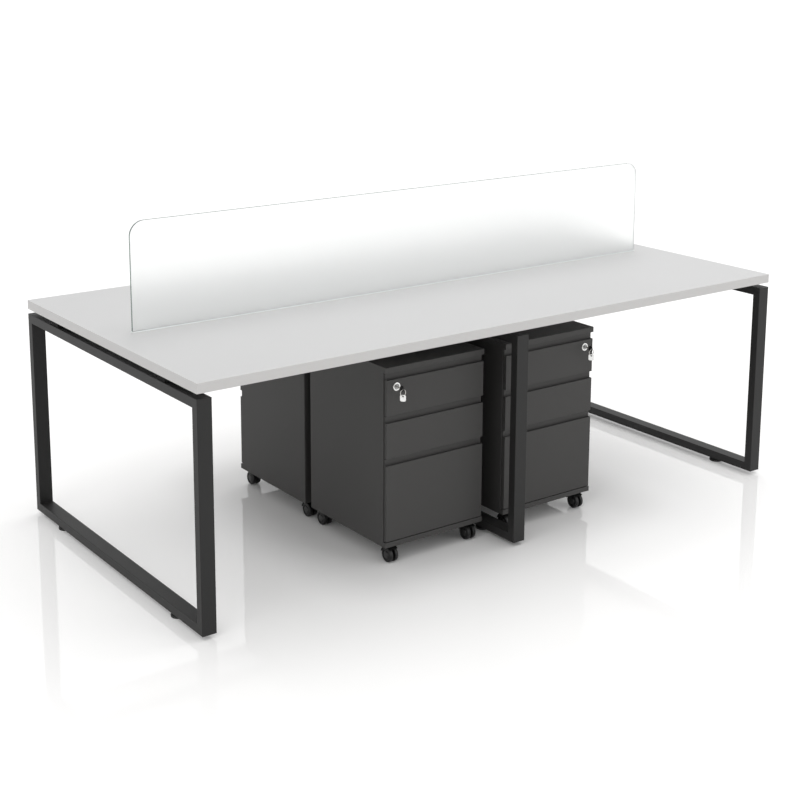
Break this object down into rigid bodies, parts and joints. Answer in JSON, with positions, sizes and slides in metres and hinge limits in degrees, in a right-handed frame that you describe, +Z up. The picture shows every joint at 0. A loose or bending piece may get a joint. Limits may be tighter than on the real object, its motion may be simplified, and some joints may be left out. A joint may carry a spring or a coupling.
{
  "type": "team desk",
  "caption": "Long team desk: one top on dark loop frames, frosted glass screen along the middle, and mobile steel pedestals with lockable drawers back to back below.",
  "frame": {"origin": "on the floor under the middle of the tabletop", "axes": "+Z up, +X along the desk's length, -Y towards the side that the picture is taken from"},
  "size_m": [2.4, 1.2, 1.129],
  "materials": {
    "top_board": "satin light grey laminate",
    "frosted_glass": "frosted",
    "clear_gasket": "clear",
    "frame_paint": "fine matt powder coat",
    "case_paint": "fine matt powder coat",
    "lock_chrome": "polished",
    "black_plastic": "matt",
    "wheel_nylon": "satin"
  },
  "bodies": {
    "desk": {"tabletop": "top_board", "glass_screen": "frosted_glass", "screen_gasket": "clear_gasket", "loop_frame_left": "frame_paint", "loop_frame_middle": "frame_paint", "loop_frame_right": "frame_paint", "top_beams": "frame_paint", "levelling_feet": "black_plastic"},
    "pedestal_fl_case": {"pedestal_fl_case": "case_paint"},
    "pedestal_fl_drawer_top": {"pedestal_fl_drawer_top": "case_paint"},
    "pedestal_fl_lock": {"pedestal_fl_lock": "lock_chrome"},
    "pedestal_fl_drawer_middle": {"pedestal_fl_drawer_middle": "case_paint"},
    "pedestal_fl_drawer_file": {"pedestal_fl_drawer_file": "case_paint"},
    "pedestal_fl_caster_fl_fork": {"pedestal_fl_caster_fl_fork": "black_plastic"},
    "pedestal_fl_caster_fl_wheels": {"pedestal_fl_caster_fl_wheels": "wheel_nylon"},
    "pedestal_fl_caster_fr_fork": {"pedestal_fl_caster_fr_fork": "black_plastic"},
    "pedestal_fl_caster_fr_wheels": {"pedestal_fl_caster_fr_wheels": "wheel_nylon"},
    "pedestal_fl_caster_bl_fork": {"pedestal_fl_caster_bl_fork": "black_plastic"},
    "pedestal_fl_caster_bl_wheels": {"pedestal_fl_caster_bl_wheels": "wheel_nylon"},
    "pedestal_fl_caster_br_fork": {"pedestal_fl_caster_br_fork": "black_plastic"},
    "pedestal_fl_caster_br_wheels": {"pedestal_fl_caster_br_wheels": "wheel_nylon"},
    "pedestal_fr_case": {"pedestal_fr_case": "case_paint"},
    "pedestal_fr_drawer_top": {"pedestal_fr_drawer_top": "case_paint"},
    "pedestal_fr_lock": {"pedestal_fr_lock": "lock_chrome"},
    "pedestal_fr_drawer_middle": {"pedestal_fr_drawer_middle": "case_paint"},
    "pedestal_fr_drawer_file": {"pedestal_fr_drawer_file": "case_paint"},
    "pedestal_fr_caster_fl_fork": {"pedestal_fr_caster_fl_fork": "black_plastic"},
    "pedestal_fr_caster_fl_wheels": {"pedestal_fr_caster_fl_wheels": "wheel_nylon"},
    "pedestal_fr_caster_fr_fork": {"pedestal_fr_caster_fr_fork": "black_plastic"},
    "pedestal_fr_caster_fr_wheels": {"pedestal_fr_caster_fr_wheels": "wheel_nylon"},
    "pedestal_fr_caster_bl_fork": {"pedestal_fr_caster_bl_fork": "black_plastic"},
    "pedestal_fr_caster_bl_wheels": {"pedestal_fr_caster_bl_wheels": "wheel_nylon"},
    "pedestal_fr_caster_br_fork": {"pedestal_fr_caster_br_fork": "black_plastic"},
    "pedestal_fr_caster_br_wheels": {"pedestal_fr_caster_br_wheels": "wheel_nylon"},
    "pedestal_bl_case": {"pedestal_bl_case": "case_paint"},
    "pedestal_bl_drawer_top": {"pedestal_bl_drawer_top": "case_paint"},
    "pedestal_bl_lock": {"pedestal_bl_lock": "lock_chrome"},
    "pedestal_bl_drawer_middle": {"pedestal_bl_drawer_middle": "case_paint"},
    "pedestal_bl_drawer_file": {"pedestal_bl_drawer_file": "case_paint"},
    "pedestal_bl_caster_fl_fork": {"pedestal_bl_caster_fl_fork": "black_plastic"},
    "pedestal_bl_caster_fl_wheels": {"pedestal_bl_caster_fl_wheels": "wheel_nylon"},
    "pedestal_bl_caster_fr_fork": {"pedestal_bl_caster_fr_fork": "black_plastic"},
    "pedestal_bl_caster_fr_wheels": {"pedestal_bl_caster_fr_wheels": "wheel_nylon"},
    "pedestal_bl_caster_bl_fork": {"pedestal_bl_caster_bl_fork": "black_plastic"},
    "pedestal_bl_caster_bl_wheels": {"pedestal_bl_caster_bl_wheels": "wheel_nylon"},
    "pedestal_bl_caster_br_fork": {"pedestal_bl_caster_br_fork": "black_plastic"},
    "pedestal_bl_caster_br_wheels": {"pedestal_bl_caster_br_wheels": "wheel_nylon"},
    "pedestal_br_case": {"pedestal_br_case": "case_paint"},
    "pedestal_br_drawer_top": {"pedestal_br_drawer_top": "case_paint"},
    "pedestal_br_lock": {"pedestal_br_lock": "lock_chrome"},
    "pedestal_br_drawer_middle": {"pedestal_br_drawer_middle": "case_paint"},
    "pedestal_br_drawer_file": {"pedestal_br_drawer_file": "case_paint"},
    "pedestal_br_caster_fl_fork": {"pedestal_br_caster_fl_fork": "black_plastic"},
    "pedestal_br_caster_fl_wheels": {"pedestal_br_caster_fl_wheels": "wheel_nylon"},
    "pedestal_br_caster_fr_fork": {"pedestal_br_caster_fr_fork": "black_plastic"},
    "pedestal_br_caster_fr_wheels": {"pedestal_br_caster_fr_wheels": "wheel_nylon"},
    "pedestal_br_caster_bl_fork": {"pedestal_br_caster_bl_fork": "black_plastic"},
    "pedestal_br_caster_bl_wheels": {"pedestal_br_caster_bl_wheels": "wheel_nylon"},
    "pedestal_br_caster_br_fork": {"pedestal_br_caster_br_fork": "black_plastic"},
    "pedestal_br_caster_br_wheels": {"pedestal_br_caster_br_wheels": "wheel_nylon"}
  },
  "joints": [
    {"name": "pedestal_fl_roll_out", "type": "slide", "parent": "desk", "child": "pedestal_fl_case", "axis": [0, -1, 0], "range_m": [0, 0.6]},
    {"name": "pedestal_fl_drawer_top_slide", "type": "slide", "parent": "pedestal_fl_case", "child": "pedestal_fl_drawer_top", "axis": [0, -1, 0], "range_m": [0, 0.31]},
    {"name": "pedestal_fl_lock_turn", "type": "hinge", "parent": "pedestal_fl_drawer_top", "child": "pedestal_fl_lock", "pos_m": [-0.422, -0.48, 0.598], "axis": [0, 1, 0], "range_deg": [0, 90]},
    {"name": "pedestal_fl_drawer_middle_slide", "type": "slide", "parent": "pedestal_fl_case", "child": "pedestal_fl_drawer_middle", "axis": [0, -1, 0], "range_m": [0, 0.31]},
    {"name": "pedestal_fl_drawer_file_slide", "type": "slide", "parent": "pedestal_fl_case", "child": "pedestal_fl_drawer_file", "axis": [0, -1, 0], "range_m": [0, 0.36]},
    {"name": "pedestal_fl_caster_fl_fork_swivel", "type": "hinge", "parent": "pedestal_fl_case", "child": "pedestal_fl_caster_fl_fork", "pos_m": [-0.425, -0.438, 0.061], "axis": [0, 0, 1], "continuous": true},
    {"name": "pedestal_fl_caster_fl_wheels_spin", "type": "hinge", "parent": "pedestal_fl_caster_fl_fork", "child": "pedestal_fl_caster_fl_wheels", "pos_m": [-0.425, -0.452, 0.025], "axis": [1, 0, 0], "continuous": true},
    {"name": "pedestal_fl_caster_fr_fork_swivel", "type": "hinge", "parent": "pedestal_fl_case", "child": "pedestal_fl_caster_fr_fork", "pos_m": [-0.101, -0.438, 0.061], "axis": [0, 0, 1], "continuous": true},
    {"name": "pedestal_fl_caster_fr_wheels_spin", "type": "hinge", "parent": "pedestal_fl_caster_fr_fork", "child": "pedestal_fl_caster_fr_wheels", "pos_m": [-0.101, -0.452, 0.025], "axis": [1, 0, 0], "continuous": true},
    {"name": "pedestal_fl_caster_bl_fork_swivel", "type": "hinge", "parent": "pedestal_fl_case", "child": "pedestal_fl_caster_bl_fork", "pos_m": [-0.425, -0.082, 0.061], "axis": [0, 0, 1], "continuous": true},
    {"name": "pedestal_fl_caster_bl_wheels_spin", "type": "hinge", "parent": "pedestal_fl_caster_bl_fork", "child": "pedestal_fl_caster_bl_wheels", "pos_m": [-0.425, -0.068, 0.025], "axis": [1, 0, 0], "continuous": true},
    {"name": "pedestal_fl_caster_br_fork_swivel", "type": "hinge", "parent": "pedestal_fl_case", "child": "pedestal_fl_caster_br_fork", "pos_m": [-0.101, -0.082, 0.061], "axis": [0, 0, 1], "continuous": true},
    {"name": "pedestal_fl_caster_br_wheels_spin", "type": "hinge", "parent": "pedestal_fl_caster_br_fork", "child": "pedestal_fl_caster_br_wheels", "pos_m": [-0.101, -0.068, 0.025], "axis": [1, 0, 0], "continuous": true},
    {"name": "pedestal_fr_roll_out", "type": "slide", "parent": "desk", "child": "pedestal_fr_case", "axis": [0, -1, 0], "range_m": [0, 0.6]},
    {"name": "pedestal_fr_drawer_top_slide", "type": "slide", "parent": "pedestal_fr_case", "child": "pedestal_fr_drawer_top", "axis": [0, -1, 0], "range_m": [0, 0.31]},
    {"name": "pedestal_fr_lock_turn", "type": "hinge", "parent": "pedestal_fr_drawer_top", "child": "pedestal_fr_lock", "pos_m": [0.389, -0.48, 0.598], "axis": [0, 1, 0], "range_deg": [0, 90]},
    {"name": "pedestal_fr_drawer_middle_slide", "type": "slide", "parent": "pedestal_fr_case", "child": "pedestal_fr_drawer_middle", "axis": [0, -1, 0], "range_m": [0, 0.31]},
    {"name": "pedestal_fr_drawer_file_slide", "type": "slide", "parent": "pedestal_fr_case", "child": "pedestal_fr_drawer_file", "axis": [0, -1, 0], "range_m": [0, 0.36]},
    {"name": "pedestal_fr_caster_fl_fork_swivel", "type": "hinge", "parent": "pedestal_fr_case", "child": "pedestal_fr_caster_fl_fork", "pos_m": [0.068, -0.438, 0.061], "axis": [0, 0, 1], "continuous": true},
    {"name": "pedestal_fr_caster_fl_wheels_spin", "type": "hinge", "parent": "pedestal_fr_caster_fl_fork", "child": "pedestal_fr_caster_fl_wheels", "pos_m": [0.068, -0.452, 0.025], "axis": [1, 0, 0], "continuous": true},
    {"name": "pedestal_fr_caster_fr_fork_swivel", "type": "hinge", "parent": "pedestal_fr_case", "child": "pedestal_fr_caster_fr_fork", "pos_m": [0.392, -0.438, 0.061], "axis": [0, 0, 1], "continuous": true},
    {"name": "pedestal_fr_caster_fr_wheels_spin", "type": "hinge", "parent": "pedestal_fr_caster_fr_fork", "child": "pedestal_fr_caster_fr_wheels", "pos_m": [0.392, -0.452, 0.025], "axis": [1, 0, 0], "continuous": true},
    {"name": "pedestal_fr_caster_bl_fork_swivel", "type": "hinge", "parent": "pedestal_fr_case", "child": "pedestal_fr_caster_bl_fork", "pos_m": [0.068, -0.082, 0.061], "axis": [0, 0, 1], "continuous": true},
    {"name": "pedestal_fr_caster_bl_wheels_spin", "type": "hinge", "parent": "pedestal_fr_caster_bl_fork", "child": "pedestal_fr_caster_bl_wheels", "pos_m": [0.068, -0.068, 0.025], "axis": [1, 0, 0], "continuous": true},
    {"name": "pedestal_fr_caster_br_fork_swivel", "type": "hinge", "parent": "pedestal_fr_case", "child": "pedestal_fr_caster_br_fork", "pos_m": [0.392, -0.082, 0.061], "axis": [0, 0, 1], "continuous": true},
    {"name": "pedestal_fr_caster_br_wheels_spin", "type": "hinge", "parent": "pedestal_fr_caster_br_fork", "child": "pedestal_fr_caster_br_wheels", "pos_m": [0.392, -0.068, 0.025], "axis": [1, 0, 0], "continuous": true},
    {"name": "pedestal_bl_roll_out", "type": "slide", "parent": "desk", "child": "pedestal_bl_case", "axis": [0, 1, 0], "range_m": [0, 0.6]},
    {"name": "pedestal_bl_drawer_top_slide", "type": "slide", "parent": "pedestal_bl_case", "child": "pedestal_bl_drawer_top", "axis": [0, 1, 0], "range_m": [0, 0.31]},
    {"name": "pedestal_bl_lock_turn", "type": "hinge", "parent": "pedestal_bl_drawer_top", "child": "pedestal_bl_lock", "pos_m": [-0.422, 0.437, 0.598], "axis": [0, -1, 0], "range_deg": [0, 90]},
    {"name": "pedestal_bl_drawer_middle_slide", "type": "slide", "parent": "pedestal_bl_case", "child": "pedestal_bl_drawer_middle", "axis": [0, 1, 0], "range_m": [0, 0.31]},
    {"name": "pedestal_bl_drawer_file_slide", "type": "slide", "parent": "pedestal_bl_case", "child": "pedestal_bl_drawer_file", "axis": [0, 1, 0], "range_m": [0, 0.36]},
    {"name": "pedestal_bl_caster_fl_fork_swivel", "type": "hinge", "parent": "pedestal_bl_case", "child": "pedestal_bl_caster_fl_fork", "pos_m": [-0.101, 0.395, 0.061], "axis": [0, 0, 1], "continuous": true},
    {"name": "pedestal_bl_caster_fl_wheels_spin", "type": "hinge", "parent": "pedestal_bl_caster_fl_fork", "child": "pedestal_bl_caster_fl_wheels", "pos_m": [-0.101, 0.409, 0.025], "axis": [1, 0, 0], "continuous": true},
    {"name": "pedestal_bl_caster_fr_fork_swivel", "type": "hinge", "parent": "pedestal_bl_case", "child": "pedestal_bl_caster_fr_fork", "pos_m": [-0.425, 0.395, 0.061], "axis": [0, 0, 1], "continuous": true},
    {"name": "pedestal_bl_caster_fr_wheels_spin", "type": "hinge", "parent": "pedestal_bl_caster_fr_fork", "child": "pedestal_bl_caster_fr_wheels", "pos_m": [-0.425, 0.409, 0.025], "axis": [1, 0, 0], "continuous": true},
    {"name": "pedestal_bl_caster_bl_fork_swivel", "type": "hinge", "parent": "pedestal_bl_case", "child": "pedestal_bl_caster_bl_fork", "pos_m": [-0.101, 0.039, 0.061], "axis": [0, 0, 1], "continuous": true},
    {"name": "pedestal_bl_caster_bl_wheels_spin", "type": "hinge", "parent": "pedestal_bl_caster_bl_fork", "child": "pedestal_bl_caster_bl_wheels", "pos_m": [-0.101, 0.025, 0.025], "axis": [1, 0, 0], "continuous": true},
    {"name": "pedestal_bl_caster_br_fork_swivel", "type": "hinge", "parent": "pedestal_bl_case", "child": "pedestal_bl_caster_br_fork", "pos_m": [-0.425, 0.039, 0.061], "axis": [0, 0, 1], "continuous": true},
    {"name": "pedestal_bl_caster_br_wheels_spin", "type": "hinge", "parent": "pedestal_bl_caster_br_fork", "child": "pedestal_bl_caster_br_wheels", "pos_m": [-0.425, 0.025, 0.025], "axis": [1, 0, 0], "continuous": true},
    {"name": "pedestal_br_roll_out", "type": "slide", "parent": "desk", "child": "pedestal_br_case", "axis": [0, 1, 0], "range_m": [0, 0.6]},
    {"name": "pedestal_br_drawer_top_slide", "type": "slide", "parent": "pedestal_br_case", "child": "pedestal_br_drawer_top", "axis": [0, 1, 0], "range_m": [0, 0.31]},
    {"name": "pedestal_br_lock_turn", "type": "hinge", "parent": "pedestal_br_drawer_top", "child": "pedestal_br_lock", "pos_m": [0.389, 0.437, 0.598], "axis": [0, -1, 0], "range_deg": [0, 90]},
    {"name": "pedestal_br_drawer_middle_slide", "type": "slide", "parent": "pedestal_br_case", "child": "pedestal_br_drawer_middle", "axis": [0, 1, 0], "range_m": [0, 0.31]},
    {"name": "pedestal_br_drawer_file_slide", "type": "slide", "parent": "pedestal_br_case", "child": "pedestal_br_drawer_file", "axis": [0, 1, 0], "range_m": [0, 0.36]},
    {"name": "pedestal_br_caster_fl_fork_swivel", "type": "hinge", "parent": "pedestal_br_case", "child": "pedestal_br_caster_fl_fork", "pos_m": [0.392, 0.395, 0.061], "axis": [0, 0, 1], "continuous": true},
    {"name": "pedestal_br_caster_fl_wheels_spin", "type": "hinge", "parent": "pedestal_br_caster_fl_fork", "child": "pedestal_br_caster_fl_wheels", "pos_m": [0.392, 0.409, 0.025], "axis": [1, 0, 0], "continuous": true},
    {"name": "pedestal_br_caster_fr_fork_swivel", "type": "hinge", "parent": "pedestal_br_case", "child": "pedestal_br_caster_fr_fork", "pos_m": [0.068, 0.395, 0.061], "axis": [0, 0, 1], "continuous": true},
    {"name": "pedestal_br_caster_fr_wheels_spin", "type": "hinge", "parent": "pedestal_br_caster_fr_fork", "child": "pedestal_br_caster_fr_wheels", "pos_m": [0.068, 0.409, 0.025], "axis": [1, 0, 0], "continuous": true},
    {"name": "pedestal_br_caster_bl_fork_swivel", "type": "hinge", "parent": "pedestal_br_case", "child": "pedestal_br_caster_bl_fork", "pos_m": [0.392, 0.039, 0.061], "axis": [0, 0, 1], "continuous": true},
    {"name": "pedestal_br_caster_bl_wheels_spin", "type": "hinge", "parent": "pedestal_br_caster_bl_fork", "child": "pedestal_br_caster_bl_wheels", "pos_m": [0.392, 0.025, 0.025], "axis": [1, 0, 0], "continuous": true},
    {"name": "pedestal_br_caster_br_fork_swivel", "type": "hinge", "parent": "pedestal_br_case", "child": "pedestal_br_caster_br_fork", "pos_m": [0.068, 0.039, 0.061], "axis": [0, 0, 1], "continuous": true},
    {"name": "pedestal_br_caster_br_wheels_spin", "type": "hinge", "parent": "pedestal_br_caster_br_fork", "child": "pedestal_br_caster_br_wheels", "pos_m": [0.068, 0.025, 0.025], "axis": [1, 0, 0], "continuous": true}
  ]
}
